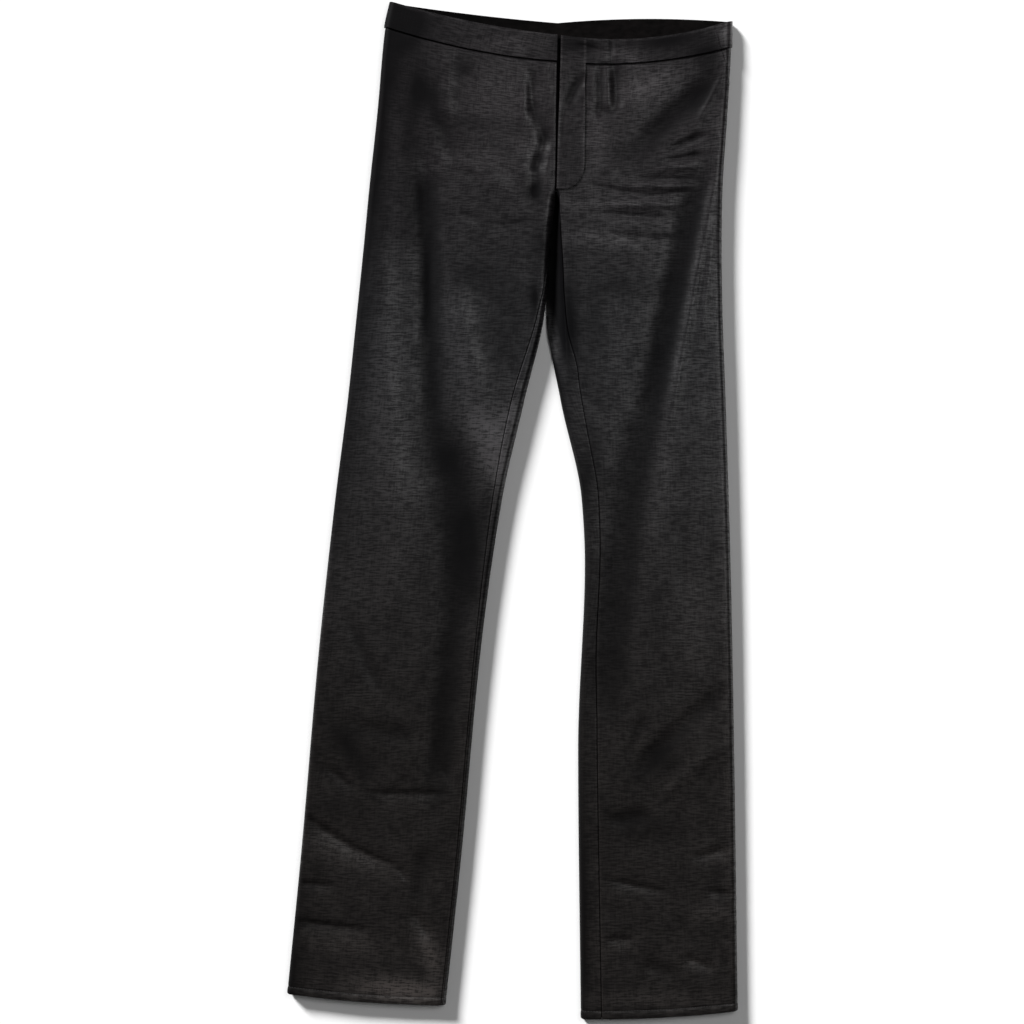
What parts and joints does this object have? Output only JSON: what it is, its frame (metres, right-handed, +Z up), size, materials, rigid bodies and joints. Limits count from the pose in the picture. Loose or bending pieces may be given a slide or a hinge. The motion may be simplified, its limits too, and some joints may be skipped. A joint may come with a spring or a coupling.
{
  "type": "jeans",
  "caption": "Low-rise straight-leg jeans in black coated denim, laid flat front up: plain waistband cut in one with a fly placket, no pockets showing, hollow legs with turned-up hems.",
  "frame": {"origin": "middle of the bounding box's underside, on the surface the jeans lie on", "axes": "+Y towards the waist, +X towards the wearer's left leg, +Z up off the surface, out of the jeans' front"},
  "size_m": [0.499, 1.1254, 0.0191],
  "materials": {
    "denim": "coated, soft sheen",
    "band_denim": "coated, soft sheen",
    "shield_denim": "matt"
  },
  "bodies": {
    "root": {"front_right": "denim", "front_left": "denim", "back_right": "denim", "back_left": "denim", "waistband_right": "band_denim", "waistband_fly_left": "band_denim", "waistband_back": "band_denim", "fly_shield": "shield_denim"}
  },
  "joints": []
}
